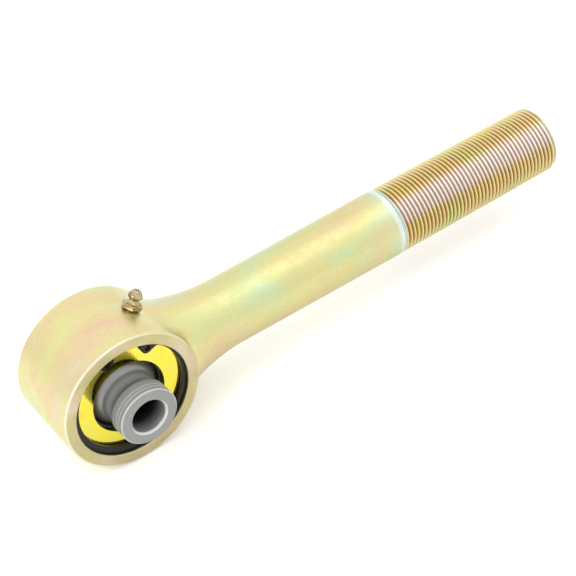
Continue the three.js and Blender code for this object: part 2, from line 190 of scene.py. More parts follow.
def spin_points(profile, segments, axis):
    """Rings of points for a profile of (radius, height), turned round an axis through the origin.

    Round Y the angle starts at +X and goes towards +Z, so that ring points match the neck's.
    """
    profile = np.asarray(profile, float)
    angle = 2 * np.pi * np.arange(segments) / segments
    along = np.repeat(profile[:, 1][:, None], segments, 1)
    first = profile[:, :1] * np.cos(angle)
    second = profile[:, :1] * np.sin(angle)
    order = {"x": (along, first, second), "y": (first, along, second), "z": (first, second, along)}
    return np.stack(order[axis], -1)


def grid_faces(index, close_rows=False, close_columns=False):
    """Quads over a grid of point numbers. A quad that has lost a corner becomes a triangle."""
    if close_rows:
        index = np.vstack([index, index[:1]])
    if close_columns:
        index = np.hstack([index, index[:, :1]])
    corners = np.stack([index[:-1, :-1], index[:-1, 1:], index[1:, 1:], index[1:, :-1]], -1)
    faces = []
    for quad in corners.reshape(-1, 4).tolist():
        kept = [p for k, p in enumerate(quad) if p != quad[k - 1]]
        if len(set(kept)) == len(kept) and len(kept) > 2:
            faces.append(kept)
    return faces


class Body:
    """Points and faces collected in millimetres until they become one mesh."""

    def __init__(self):
        self.points = []
        self.faces = []

    def add(self, points):
        start = len(self.points)
        self.points.extend(np.asarray(points, float).reshape(-1, 3).tolist())
        return np.arange(start, len(self.points))

    def add_grid(self, points, **closing):
        rows, columns = points.shape[:2]
        index = self.add(points).reshape(rows, columns)
        self.faces.extend(grid_faces(index, **closing))
        return index

    def add_lathe(self, profile, segments, axis="y", closed=True):
        """A turned solid: the profile closes on itself, or starts and ends on the axis."""
        grid = spin_points(profile, segments, axis)
        index = self.add(grid).reshape(grid.shape[:2])
        for row, (radius, _) in enumerate(profile):
            if radius == 0:
                index[row, :] = index[row, 0]
        self.faces.extend(grid_faces(index, close_rows=closed, close_columns=True))

    def mesh_object(self, name, weld=0.0):
        mesh = bpy.data.meshes.new(name)
        mesh.from_pydata((np.array(self.points) * MM).tolist(), [], self.faces)
        made = bpy.data.objects.new(name, mesh)
        bpy.context.scene.collection.objects.link(made)
        tidy_mesh(mesh, weld)
        return made


def tidy_mesh(mesh, weld=0.0):
    """Merges points closer than weld millimetres, drops loose points, and turns faces outwards."""
    work = bmesh.new()
    work.from_mesh(mesh)
    if weld:
        bmesh.ops.remove_doubles(work, verts=work.verts, dist=weld * MM)
    loose = [v for v in work.verts if not v.link_faces]
    bmesh.ops.delete(work, geom=loose, context="VERTS")
    bmesh.ops.recalc_face_normals(work, faces=work.faces)
    if work.calc_volume(signed=True) < 0:
        bmesh.ops.reverse_faces(work, faces=work.faces)
    work.to_mesh(mesh)
    work.free()


def turned_object(name, profile, segments, axis="y", closed=True):
    body = Body()
    body.add_lathe(profile, segments, axis, closed)
    return body.mesh_object(name)


def rounded(corners, closed=True, steps=3):
    """A profile of (radius, height, fillet) corners with each fillet drawn as an arc."""
    corners = [tuple(c) + (0.0,) if len(c) == 2 else tuple(c) for c in corners]
    count = len(corners)
    profile = []
    for k, (u, v, fillet) in enumerate(corners):
        here = Vector((u, v))
        if fillet == 0 or (not closed and k in (0, count - 1)):
            profile.append((u, v))
            continue
        before = (Vector(corners[k - 1][:2]) - here).normalized()
        after = (Vector(corners[(k + 1) % count][:2]) - here).normalized()
        half = math.acos(max(-1, min(1, before.dot(after)))) / 2
        setback = fillet / math.tan(half)
        centre = here + (before + after).normalized() * (fillet / math.sin(half))
        start = here + before * setback - centre
        turn = start.angle_signed(here + after * setback - centre)
        for step in range(steps + 1):
            arm = start.copy()
            arm.rotate(Matrix.Rotation(-turn * step / steps, 2))
            profile.append(tuple(centre + arm))
    return profile


def arc(radius, start, end, steps, centre=(0.0, 0.0)):
    """Points (radius, height) on an arc, by angles in degrees from the height axis."""
    angles = np.radians(np.linspace(start, end, steps + 1))
    return [(centre[0] + radius * math.sin(a), centre[1] + radius * math.cos(a)) for a in angles]


def both_ends(half):
    """A profile from mid-plane outwards, with its mirror image in front of it."""
    return [(radius, -height) for radius, height in reversed(half)] + list(half)


def combine(target, tool, operation):
    """An exact boolean, applied to the target's mesh. The tool is used up."""
    modifier = target.modifiers.new("cut", "BOOLEAN")
    modifier.object = tool
    modifier.operation = operation
    modifier.solver = "EXACT"
    bake(target)
    bpy.data.objects.remove(tool)


def bake(piece):
    """Applies a piece's modifiers to its mesh."""
    evaluated = piece.evaluated_get(bpy.context.evaluated_depsgraph_get())
    made = bpy.data.meshes.new_from_object(evaluated)
    piece.modifiers.clear()
    piece.data = made


def finish_piece(piece, body, material, nodes, sharp=32.0, bevel=0.0):
    """Smooth shading that keeps flats flat, the finish, and the body that the piece rides on."""
    if bevel:
        edges = piece.modifiers.new("edges", "BEVEL")
        edges.width = bevel * MM
        edges.segments = 2
        edges.limit_method = "ANGLE"
        edges.angle_limit = math.radians(sharp)
        bake(piece)
    mesh = piece.data
    mesh.shade_smooth()
    mesh.set_sharp_from_angle(angle=math.radians(sharp))
    weighted = piece.modifiers.new("flats", "WEIGHTED_NORMAL")
    weighted.keep_sharp = True
    mesh.materials.clear()
    mesh.materials.append(material)
    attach(piece, body)
    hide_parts(*nodes)


# ------------------------------------------------------------------ housing


def smooth_min(a, b, blend):
    """The lesser of two values, with the corner between them rounded over a width of blend."""
    blend = np.maximum(blend, 1e-6)
    overlap = np.clip(blend - np.abs(a - b), 0, None) / blend
    return np.minimum(a, b) - overlap ** 2 * blend / 4


def flare_run(x):
    """How far a station lies up the flare, levelling off inside the eye."""
    return smooth_min(np.clip(NECK_OUTER_X - x, 0, None), NECK_FLARE_REACH, 8.0)


def flare_radius(x):
    """The neck's radius about X: an arc that comes down onto the slightly tapered shank."""
    arc_rise = NECK_FLARE_RADIUS - np.sqrt(NECK_FLARE_RADIUS ** 2 - flare_run(x) ** 2)
    taper = (SHANK_RADIUS_AT_THREAD - SHANK_RADIUS_AT_NECK) / (SHANK_END_X - NECK_OUTER_X)
    return SHANK_RADIUS_AT_NECK + taper * np.clip(x - NECK_OUTER_X, 0, None) + arc_rise


def forging_field(x, y, z):
    """Below zero inside the eye's wall or the neck, which run softly into each other."""
    from_bolt_axis = np.hypot(x, z)
    from_shank_axis = np.hypot(y, z)
    wall = from_bolt_axis - EYE_RADIUS
    flats = 2.0
    neck = -smooth_min(flare_radius(x) - from_shank_axis, NECK_HALF_WIDTH - np.abs(y), flats)
    run = flare_run(x)
    lean = run / np.sqrt(NECK_FLARE_RADIUS ** 2 - run ** 2)
    along = (lean * x + z * z / from_shank_axis) / from_bolt_axis / np.hypot(1, lean)
    rim = EYE_HALF_WIDTH - RIM_CHAMFER
    rim_height = np.clip(np.hypot(rim, z) - flare_radius(x), 0.3, None)
    return smooth_min(wall, neck, np.minimum(NECK_BLEND * (1 - along), 0.9 * rim_height))


def flare_outline():
    """The closed loop on the eye's wall where the neck's surface starts: rim, top, rim, bottom."""
    rim = EYE_HALF_WIDTH - RIM_CHAMFER
    half_turn = np.pi * np.arange(RIM_SEGMENTS // 2 + 1) / (RIM_SEGMENTS // 2) - np.pi / 2
    across = np.linspace(-rim, rim, TOP_SEGMENTS + 1)
    up = [(EYE_RADIUS * math.cos(a), -rim, EYE_RADIUS * math.sin(a)) for a in half_turn[:-1]]
    top = [(0.0, y, EYE_RADIUS) for y in across[:-1]]
    down = [(x, -y, z) for x, y, z in
            [(EYE_RADIUS * math.cos(a), -rim, EYE_RADIUS * math.sin(a)) for a in half_turn[:0:-1]]]
    bottom = [(0.0, -y, -EYE_RADIUS) for y in across[:-1]]
    return np.array(up + top + down + bottom)


def flare_grid():
    """Rows of points from the loop on the eye's wall to the ring where the shank starts.

    Each column lies in one half-plane through the X axis, and its points are found along rays
    from a focus above the neck.
    """
    loop = flare_outline()
    angle = np.arctan2(loop[:, 2], loop[:, 1])
    start = np.stack([loop[:, 0], np.hypot(loop[:, 1], loop[:, 2])], -1)
    focus = np.array([NECK_OUTER_X, NECK_OUTER_X])
    first = np.arctan2(focus[0] - start[:, 0], focus[1] - start[:, 1])
    share = (np.arange(1, FLARE_STEPS) / FLARE_STEPS) ** 1.3
    lean = first[None] * (1 - share[:, None])
    direction = np.stack([-np.sin(lean), -np.cos(lean)], -1)

    def field(distance):
        x = focus[0] + direction[..., 0] * distance
        about = focus[1] + direction[..., 1] * distance
        return forging_field(x, about * np.cos(angle), about * np.sin(angle))

    outside = np.full(lean.shape, 20.0)
    inside = outside.copy()
    found = np.zeros(lean.shape, bool)
    for distance in np.arange(20.0, 90.0, 0.4):
        hit = ~found & (field(np.full(lean.shape, distance)) < 0)
        inside[hit] = distance
        outside[hit] = distance - 0.4
        found |= hit
    for _ in range(24):
        middle = (inside + outside) / 2
        within = field(middle) < 0
        inside = np.where(within, middle, inside)
        outside = np.where(within, outside, middle)
    x = focus[0] + direction[..., 0] * inside
    about = focus[1] + direction[..., 1] * inside
    rows = np.stack([x, about * np.cos(angle), about * np.sin(angle)], -1)
    return np.concatenate([loop[None], rows]), angle


def shank_rows(angle):
    """Rings of the shank from the neck to its shoulder, the last at the thread's start."""
    edge = 0.25
    stations = [(x, float(flare_radius(x))) for x in
                np.linspace(NECK_OUTER_X, SHANK_END_X - edge, SHANK_STEPS)]
    stations.append((SHANK_END_X + 0.4 * edge, SHANK_RADIUS_AT_THREAD - 0.4 * edge))
    return np.array([[(x, r * math.cos(a), r * math.sin(a)) for a in angle]
                     for x, r in stations])


def thread_radius(x, depth):
    """The thread's surface, cut by the shoulder's cone at one end and the chamfer at the other."""
    surface = THREAD_RADIUS - THREAD_DEPTH * depth
    shoulder = SHANK_RADIUS_AT_THREAD - (x - SHANK_END_X)
    end_cone = THREAD_RADIUS - THREAD_END_CHAMFER + (THREAD_END_X - x)
    return np.minimum(np.maximum(surface, shoulder), end_cone)


def add_thread(body, first_ring, angle):
    """A right-hand thread on the same columns as the shank.

    Row j of column i lies at (angle / turn + j / rows per pitch) pitches, so the last column
    meets the first one a whole pitch further on. Rows that fall outside the threaded length
    shrink onto its first or last ring.
    """
    turn = np.unwrap(angle)
    turn = np.abs(turn - turn[0]) / (2 * np.pi)
    handed = 1 if angle[1] > angle[0] else -1
    start_x = SHANK_END_X + 0.1
    per_pitch = len(THREAD_SHAPE)
    pitches = math.ceil((THREAD_END_X - start_x) / THREAD_PITCH) + 2
    shares = np.array([k + s for k in range(pitches) for s, _ in THREAD_SHAPE])
    depths = np.array([d for _ in range(pitches) for _, d in THREAD_SHAPE])
    x = start_x - THREAD_PITCH + THREAD_PITCH * (shares[:, None] + handed * turn[None])
    x = np.clip(x, start_x, THREAD_END_X)
    radius = thread_radius(x, depths[:, None])
    radius[x >= THREAD_END_X] = THREAD_RADIUS - THREAD_END_CHAMFER
    points = np.stack([x, radius * np.cos(angle), radius * np.sin(angle)], -1)
    index = body.add(points).reshape(x.shape)
    last = body.add([(THREAD_END_X, (THREAD_RADIUS - THREAD_END_CHAMFER) * math.cos(a),
                      (THREAD_RADIUS - THREAD_END_CHAMFER) * math.sin(a)) for a in angle])
    columns = np.arange(x.shape[1])
    index = np.where(x <= start_x, first_ring[columns][None], index)
    index = np.where(x >= THREAD_END_X, last[columns][None], index)
    shifted = np.full(x.shape[0], last[0])
    shifted[:-per_pitch] = index[per_pitch:, 0]
    body.faces.extend(grid_faces(np.hstack([index, shifted[:, None]])))
    return last


def eye_profile():
    """Everything turned on the eye, from the front rim through the bore to the back rim."""
    fine = 0.12
    groove_outer_y = GROOVE_INNER_Y + GROOVE_WIDTH
    half = rounded([
        (BORE_RADIUS, 0.0),
        (BORE_RADIUS, GROOVE_INNER_Y, fine),
        (GROOVE_RADIUS, GROOVE_INNER_Y, fine),
        (GROOVE_RADIUS, groove_outer_y, fine),
        (BORE_MOUTH_RADIUS, groove_outer_y, fine),
        (BORE_MOUTH_RADIUS, EYE_HALF_WIDTH - BORE_CHAMFER, fine),
        (BORE_MOUTH_RADIUS + BORE_CHAMFER, EYE_HALF_WIDTH, fine),
        (EYE_RADIUS - RIM_CHAMFER, EYE_HALF_WIDTH, 0.5),
        (EYE_RADIUS, EYE_HALF_WIDTH - RIM_CHAMFER),
    ], closed=False)
    return both_ends(half[1:])


def housing():
    """The forging: turned eye, plain wall behind it, flared neck, shank, and rolled thread."""
    body = Body()
    body.add_grid(spin_points(eye_profile(), RIM_SEGMENTS, "y"), close_columns=True)
    rim = EYE_HALF_WIDTH - RIM_CHAMFER
    back_half = 2 * np.pi * np.arange(RIM_SEGMENTS // 4, 3 * RIM_SEGMENTS // 4 + 1) / RIM_SEGMENTS
    across = np.linspace(-rim, rim, TOP_SEGMENTS + 1)
    body.add_grid(np.array([[(EYE_RADIUS * math.cos(a), y, EYE_RADIUS * math.sin(a))
                             for a in back_half] for y in across]))
    flare, angle = flare_grid()
    rows = np.concatenate([flare, shank_rows(angle)])
    index = body.add_grid(rows, close_columns=True)
    last = add_thread(body, index[-1], angle)
    end_radius = THREAD_RADIUS - THREAD_END_CHAMFER
    discs = np.array([[(THREAD_END_X, share * end_radius * math.cos(a),
                        share * end_radius * math.sin(a)) for a in angle]
                      for share in (0.97, 0.6, 0.2)])
    ends = body.add(discs).reshape(3, -1)
    body.faces.extend(grid_faces(np.vstack([last[None], ends]), close_columns=True))
    body.faces.append(ends[-1].tolist())
    piece = body.mesh_object("forged_housing", weld=0.002)
    reach = GREASE_HOLE_REACH
    hole = turned_object("grease_hole", [(0, -reach), (GREASE_HOLE_RADIUS, -reach),
                                         (GREASE_HOLE_RADIUS, reach), (0, reach)], 48, "z", False)
    hole.data.transform(fitting_matrix())
    combine(piece, hole, "DIFFERENCE")
    return piece


# ------------------------------------------------------------------ ball, races, washers, rings


def ball():
    fine = 0.15
    centre_y = math.sqrt((BALL_RADIUS + BALL_NECK_FILLET) ** 2
                         - (BALL_NECK_RADIUS + BALL_NECK_FILLET) ** 2)
    shoulder = math.degrees(math.atan2(BALL_NECK_RADIUS + BALL_NECK_FILLET, centre_y))
    half = arc(BALL_RADIUS, 90, shoulder, 36)[1:]
    fillet_centre = (BALL_NECK_RADIUS + BALL_NECK_FILLET, centre_y)
    half += arc(BALL_NECK_FILLET, 180 + shoulder, 270, 8, fillet_centre)[1:]
    corners = [
        (BALL_NECK_RADIUS, centre_y),
        (BALL_NECK_RADIUS, COLLAR_REAR_Y, COLLAR_ROOT_FILLET),
        (COLLAR_RADIUS, COLLAR_REAR_Y, fine),
    ]
    for groove_y in COLLAR_GROOVES:
        low = groove_y - COLLAR_GROOVE_WIDTH / 2
        high = groove_y + COLLAR_GROOVE_WIDTH / 2
        floor = COLLAR_RADIUS - COLLAR_GROOVE_DEPTH
        corners += [(COLLAR_RADIUS, low - 0.1, 0.05), (floor, low + 0.05, 0.05),
                    (floor, high - 0.05, 0.05), (COLLAR_RADIUS, high + 0.1, 0.05)]
    corners += [
        (COLLAR_RADIUS, BALL_HALF_WIDTH - COLLAR_CHAMFER, fine),
        (COLLAR_RADIUS - COLLAR_CHAMFER, BALL_HALF_WIDTH, fine),
        (BALL_BORE_RADIUS + BALL_BORE_CHAMFER, BALL_HALF_WIDTH, fine),
        (BALL_BORE_RADIUS, BALL_HALF_WIDTH - BALL_BORE_CHAMFER, fine),
        (BALL_BORE_RADIUS, BALL_HALF_WIDTH / 2),
    ]
    half += rounded(corners, closed=False)[1:]
    return turned_object("necked_ball", both_ends(half), 144)


def race(side, name):
    """One half of the seat: a spherical bowl whose lip opens out for the leaning neck."""
    lip = math.degrees(math.acos(RACE_LIP_Y / RACE_SEAT_RADIUS))
    inner = math.degrees(math.acos(RACE_INNER_Y / RACE_SEAT_RADIUS))
    seat = arc(RACE_SEAT_RADIUS, lip, inner, 20)
    outside = rounded([
        (RACE_LIP_RADIUS, RACE_OUTER_Y, 0.4),
        (RACE_OUTER_RADIUS, RACE_OUTER_Y, 0.4),
        (RACE_OUTER_RADIUS, RACE_INNER_Y, 0.2),
        seat[-1],
        seat[0],
    ])
    profile = seat + list(reversed(outside[:-2]))
    return turned_object(name, [(r, side * y) for r, y in profile], 128)


def side_washer(side, name):
    profile = rounded([
        (WASHER_OUTER_RADIUS, WASHER_INNER_Y, 0.2),
        (WASHER_OUTER_RADIUS, WASHER_OUTER_Y, 0.2),
        (WASHER_HOLE_RADIUS, WASHER_OUTER_Y, WASHER_EDGE),
        (WASHER_HOLE_RADIUS, WASHER_INNER_Y, 0.2),
    ], steps=4)
    return turned_object(name, [(r, side * y) for r, y in profile], 160)


def ring_point(radius, degrees):
    angle = math.radians(degrees)
    return (radius * math.sin(angle), radius * math.cos(angle))


def ring_band_radius(degrees):
    """Radius of the band's inner edge, a circle set off towards the gap."""
    angle = math.radians(degrees)
    across = RING_BORE_OFFSET * math.sin(angle)
    return RING_BORE_OFFSET * math.cos(angle) + math.sqrt(RING_BORE_RADIUS ** 2 - across ** 2)


def smooth_line(corners, steps=8):
    """A Catmull-Rom curve through points of an outline."""
    points = [Vector(c) for c in corners]
    points = [2 * points[0] - points[1], *points, 2 * points[-1] - points[-2]]
    line = []
    for a, b, c, d in zip(points, points[1:], points[2:], points[3:]):
        for t in np.arange(steps) / steps:
            line.append(tuple(0.5 * (2 * b + (c - a) * t + (2 * a - 5 * b + 4 * c - d) * t ** 2
                                     + (3 * b - 3 * c + d - a) * t ** 3)))
    return line + [tuple(points[-2])]


def lug_outline(hand):
    """From the outside of the gap, round a lug's tip, to the inner edge of the band."""
    corners = [
        ring_point(RING_OUTER_RADIUS, hand * RING_HALF_GAP),
        ring_point(RING_OUTER_RADIUS - 1.4, hand * (RING_HALF_GAP + 0.2)),
        ring_point(RING_OUTER_RADIUS - 3.0, hand * (RING_HALF_GAP + 1.3)),
        ring_point(RING_LUG_TIP_RADIUS + 0.6, hand * (RING_LUG_ANGLE - 4.6)),
        ring_point(RING_LUG_TIP_RADIUS, hand * (RING_LUG_ANGLE - 0.6)),
        ring_point(RING_LUG_TIP_RADIUS + 0.6, hand * (RING_LUG_ANGLE + 3.6)),
        ring_point(RING_LUG_TIP_RADIUS + 2.4, hand * (RING_LUG_ANGLE + 6.6)),
        ring_point(ring_band_radius(RING_LUG_END_ANGLE) - 0.25, hand * (RING_LUG_END_ANGLE - 3)),
        ring_point(ring_band_radius(RING_LUG_END_ANGLE + 3), hand * (RING_LUG_END_ANGLE + 3)),
    ]
    return smooth_line(corners)


def snap_ring(side, name):
    """A stamped internal retaining ring, drawn flat with its gap upwards and then stood up."""
    outer = [ring_point(RING_OUTER_RADIUS, a)
             for a in np.linspace(RING_HALF_GAP, 360 - RING_HALF_GAP, 180)]
    inner = [ring_point(ring_band_radius(a), a)
             for a in np.linspace(357 - RING_LUG_END_ANGLE, 3 + RING_LUG_END_ANGLE, 140)]
    outline = outer + lug_outline(-1)[1:] + inner[1:] + list(reversed(lug_outline(1)))[1:-1]
    holes = []
    for hand in (-1, 1):
        middle = Vector(ring_point(RING_HOLE_PITCH_RADIUS, hand * RING_LUG_ANGLE))
        holes.append([tuple(middle + Vector(ring_point(RING_HOLE_RADIUS, a)))
                      for a in np.arange(0, 360, 12)])
    drawing = bpy.data.curves.new(name, "CURVE")
    drawing.dimensions = "2D"
    drawing.fill_mode = "BOTH"
    for line in [outline, *holes]:
        spline = drawing.splines.new("POLY")
        spline.points.add(len(line) - 1)
        spline.points.foreach_set("co", [c for x, y in line for c in (x * MM, y * MM, 0, 1)])
        spline.use_cyclic_u = True
    drawing.extrude = (RING_THICKNESS / 2 - RING_EDGE) * MM
    drawing.bevel_depth = RING_EDGE * MM
    drawing.bevel_resolution = 1
    drawing.offset = -RING_EDGE * MM
    flat = bpy.data.objects.new(name + "_drawing", drawing)
    bpy.context.scene.collection.objects.link(flat)
    evaluated = flat.evaluated_get(bpy.context.evaluated_depsgraph_get())
    mesh = bpy.data.meshes.new_from_object(evaluated)
    bpy.data.objects.remove(flat)
    stand_up = Matrix.Rotation(math.pi / 2, 4, "X")
    turn_gap = Matrix.Rotation(math.radians(RING_GAP_ANGLE), 4, "Y")
    mesh.transform(turn_gap @ stand_up)
    middle_y = side * (RING_INNER_Y + RING_THICKNESS / 2)
    mesh.transform(Matrix.Translation((0, middle_y * MM, 0)))
    tidy_mesh(mesh, weld=0.002)
    made = bpy.data.objects.new(name, mesh)
    bpy.context.scene.collection.objects.link(made)
    return made


# ------------------------------------------------------------------ grease fitting


def fitting_matrix():
    """From the fitting's own axes, foot at the origin and nose up, to its place on the eye."""
    angle = math.radians(GREASE_ANGLE)
    foot = Vector((math.sin(angle), 0, math.cos(angle))) * EYE_RADIUS * MM
    return Matrix.Translation(foot) @ Matrix.Rotation(angle, 4, "Y")


def hexagon():
    """The wrench hexagon with its top corners turned off at 30 degrees."""
    corner = HEX_ACROSS_FLATS / math.sqrt(3)
    body = Body()
    ring = [(corner * math.cos(a), corner * math.sin(a)) for a in np.arange(6) * math.pi / 3]
    low = body.add([(x, y, HEX_BOTTOM) for x, y in ring])
    high = body.add([(x, y, HEX_TOP) for x, y in ring])
    body.faces.extend(grid_faces(np.array([low, high]), close_columns=True))
    body.faces.extend([low[::-1].tolist(), high.tolist()])
    prism = body.mesh_object("hexagon")
    flat = HEX_ACROSS_FLATS / 2
    drop = (corner + 0.5 - flat + 0.15) * math.tan(math.radians(30))
    cone = turned_object("hexagon_turning", [
        (0, HEX_BOTTOM - 1), (corner + 0.5, HEX_BOTTOM - 1), (corner + 0.5, HEX_TOP - drop),
        (flat - 0.15, HEX_TOP), (0, HEX_TOP)], 96, "z", False)
    combine(prism, cone, "INTERSECT")
    return prism


def fitting_body():
    """Stem, head, mouth and passage turned in one, joined to the hexagon."""
    turned = rounded([
        (FITTING_STEM_RADIUS - 0.4, FITTING_STEM_BOTTOM),
        (FITTING_STEM_RADIUS, FITTING_STEM_BOTTOM + 0.5),
        (FITTING_STEM_RADIUS, FITTING_SEAT_BOTTOM),
        (FITTING_SEAT_RADIUS, FITTING_SEAT_BOTTOM),
        (FITTING_SEAT_RADIUS, HEX_TOP + 0.15, 0.15),
        (FITTING_NECK_RADIUS, FITTING_NECK_BOTTOM, 0.3),
        (FITTING_NECK_RADIUS, FITTING_NECK_TOP, 0.3),
        (FITTING_HEAD_EDGE_RADIUS, FITTING_HEAD_BOTTOM, 0.25),
        (FITTING_HEAD_RADIUS, FITTING_HEAD_MIDDLE, 0.5),
        (FITTING_HEAD_EDGE_RADIUS, FITTING_HEAD_TOP, 0.5),
        (FITTING_NOSE_RADIUS, FITTING_NOSE_EDGE, 0.4),
        (FITTING_TIP_RADIUS, FITTING_TOP, 0.2),
        (MOUTH_RADIUS + 0.2, FITTING_TOP, 0.1),
        (MOUTH_RADIUS, FITTING_TOP - 0.2, 0.1),
        (MOUTH_RADIUS, PASSAGE_SEAT_TOP),
        (PASSAGE_RADIUS, PASSAGE_SEAT_BOTTOM),
        (PASSAGE_RADIUS, PASSAGE_LEDGE),
        (PASSAGE_INLET_RADIUS, PASSAGE_LEDGE),
        (PASSAGE_INLET_RADIUS, FITTING_STEM_BOTTOM),
    ])
    piece = turned_object("fitting_body", turned, 96, "z")
    combine(piece, bored_hexagon(), "UNION")
    return piece


def bored_hexagon():
    """The hexagon with its middle drilled out, so that the passage stays open."""
    prism = hexagon()
    drill_radius = FITTING_STEM_RADIUS - 0.6
    low = HEX_BOTTOM - 3.7
    high = HEX_TOP + 3.2
    drill = turned_object("hexagon_drill", [(0, low), (drill_radius, low), (drill_radius, high),
                                            (0, high)], 64, "z", False)
    combine(prism, drill, "DIFFERENCE")
    return prism


def check_ball():
    profile = [(0, CHECK_BALL_HEIGHT - CHECK_BALL_RADIUS)]
    profile += [(r, CHECK_BALL_HEIGHT - h) for r, h in arc(CHECK_BALL_RADIUS, 6, 174, 28)]
    profile.append((0, CHECK_BALL_HEIGHT + CHECK_BALL_RADIUS))
    return turned_object("fitting_check_ball", profile, 48, "z", False)


def spring():
    """The check spring: a wire swept round a helix, with flat ends."""
    bottom = PASSAGE_LEDGE + SPRING_WIRE_RADIUS + SPRING_END_GAP
    top = CHECK_BALL_HEIGHT - CHECK_BALL_RADIUS - SPRING_WIRE_RADIUS - SPRING_END_GAP
    turn = np.linspace(0, 2 * np.pi * SPRING_TURNS, 24 * SPRING_TURNS + 1)
    rise = (top - bottom) / turn[-1]
    outward = np.stack([np.cos(turn), np.sin(turn), 0 * turn], -1)
    line = SPRING_RADIUS * outward + np.stack([0 * turn, 0 * turn, bottom + rise * turn], -1)
    forward = np.stack([-np.sin(turn), np.cos(turn), 0 * turn + rise / SPRING_RADIUS], -1)
    forward /= np.linalg.norm(forward, axis=1, keepdims=True)
    side = np.cross(forward, outward)
    round_wire = 2 * np.pi * np.arange(12) / 12
    points = (line[:, None] + SPRING_WIRE_RADIUS
              * (np.cos(round_wire)[None, :, None] * outward[:, None]
                 + np.sin(round_wire)[None, :, None] * side[:, None]))
    body = Body()
    index = body.add_grid(points, close_columns=True)
    body.faces.extend([index[0].tolist(), index[-1][::-1].tolist()])
    return body.mesh_object("fitting_spring")


# ------------------------------------------------------------------ materials


def linear(hex_colour):
    """A #rrggbb colour as the linear values that shaders use."""
    parts = [int(hex_colour[k:k + 2], 16) / 255 for k in (1, 3, 5)]
    return tuple(c / 12.92 if c <= 0.04045 else ((c + 0.055) / 1.055) ** 2.4 for c in parts) + (1.0,)


class Shader:
    """A material's node tree, built by short calls."""

    def __init__(self, name, metallic, roughness):
        self.material = bpy.data.materials.new(name)
        self.material.use_nodes = True
        self.tree = self.material.node_tree
        self.surface = self.tree.nodes["Principled BSDF"]
        self.surface.inputs["Metallic"].default_value = metallic
        self.surface.inputs["Roughness"].default_value = roughness
        self.place = self.node("ShaderNodeTexCoord").outputs["Object"]

    def node(self, kind, **settings):
        made = self.tree.nodes.new(kind)
        for name, value in settings.items():
            if hasattr(made, name):
                setattr(made, name, value)
            else:
                self.feed(made.inputs[name.replace("_", " ")], value)
        return made

    def feed(self, socket, value):
        if isinstance(value, bpy.types.NodeSocket):
            self.tree.links.new(value, socket)
        else:
            socket.default_value = value

    def noise(self, scale, detail=2.0, place=None, roughness=0.5, distortion=0.0):
        return self.node("ShaderNodeTexNoise", Vector=place or self.place, Scale=scale,
                         Detail=detail, Roughness=roughness, Distortion=distortion).outputs[0]

    def stretched(self, x, y, z, shift=(0, 0, 0)):
        return self.node("ShaderNodeMapping", Vector=self.place, Scale=(x, y, z),
                         Location=shift).outputs[0]

    def math(self, operation, a, b=0.0, c=0.0):
        made = self.node("ShaderNodeMath", operation=operation)
        for socket, value in zip(made.inputs, (a, b, c)):
            self.feed(socket, value)
        return made.outputs[0]

    def spread(self, value, low, high, to_low=0.0, to_high=1.0):
        made = self.node("ShaderNodeMapRange", interpolation_type="SMOOTHSTEP", Value=value)
        for name, number in (("From Min", low), ("From Max", high), ("To Min", to_low),
                             ("To Max", to_high)):
            made.inputs[name].default_value = number
        return made.outputs[0]

    def over(self, value, span, to_low=0.0, to_high=1.0):
        """A smooth step over a span of millimetres."""
        return self.spread(value, span[0] * MM, span[1] * MM, to_low, to_high)

    def ramp(self, value, stops):
        made = self.node("ShaderNodeValToRGB", Fac=value)
        points = made.color_ramp.elements
        while len(points) < len(stops):
            points.new(0.5)
        for point, (position, colour) in zip(points, stops):
            point.position = position
            point.color = linear(colour)
        return made.outputs[0]

    def mix(self, factor, a, b, blend="MIX"):
        made = self.node("ShaderNodeMix", data_type="RGBA", blend_type=blend)
        self.feed(made.inputs[0], factor)
        self.feed(made.inputs[6], linear(a) if isinstance(a, str) else a)
        self.feed(made.inputs[7], linear(b) if isinstance(b, str) else b)
        return made.outputs[2]

    def colour(self, value):
        self.feed(self.surface.inputs["Base Color"], value)

    def metallic(self, value):
        self.feed(self.surface.inputs["Metallic"], value)

    def roughness(self, value):
        self.feed(self.surface.inputs["Roughness"], value)

    def bump(self, height, strength, distance):
        """Adds one layer of relief, distance in millimetres, over those already there."""
        socket = self.surface.inputs["Normal"]
        made = self.node("ShaderNodeBump", Height=height, Strength=strength, Distance=distance * MM)
        if socket.is_linked:
            self.feed(made.inputs["Normal"], socket.links[0].from_socket)
        self.feed(socket, made.outputs[0])

    def apart(self, axis):
        return self.node("ShaderNodeSeparateXYZ", Vector=self.place).outputs[axis]

    def across(self, kept):
        """The place with one axis flattened: kept is 1 for each axis that stays."""
        made = self.node("ShaderNodeVectorMath", operation="MULTIPLY")
        self.feed(made.inputs[0], self.place)
        made.inputs[1].default_value = kept
        return made.outputs[0]

    def length(self, vector):
        made = self.node("ShaderNodeVectorMath", operation="LENGTH")
        self.feed(made.inputs[0], vector)
        return made.outputs["Value"]

    def band(self, value, start, rise, fall, end):
        """One between rise and fall, in millimetres, and zero before start and after end."""
        return self.math("MULTIPLY", self.over(value, (start, rise)),
                         self.over(value, (fall, end), 1.0, 0.0))


# How bright each stretch of the film is: a grey that its hues are multiplied by. The thread's lighter
# grey is painted light against the shade in its grooves.
EYE_REFLECTANCE = "#d8d9d9"
FILM_REFLECTANCE = "#d2d2d2"
THREAD_LIGHTENED_LEVEL = "#e2e2e0"

EYE_TO_SHANK_X = (20.0, 50.0)         # where the film's brightness changes over
PALE_END_X = (142.0, 154.0)           # the shank's paler, greener end
DRIP_LENGTH = 12.0
# where the painted highlight round the shoulder comes in
SHOULDER_HIGHLIGHT_X = (SHANK_END_X - 3.2, SHANK_END_X - 1.2)
THREAD_FILM_X = (SHANK_END_X + 1.3, SHANK_END_X + 1.8)
THREAD_HIGHLIGHT_LINE = (0, -11, 11)            # middle of the painted highlight band along the thread
THREAD_HIGHLIGHT_REACH = (2.0, 9.0)


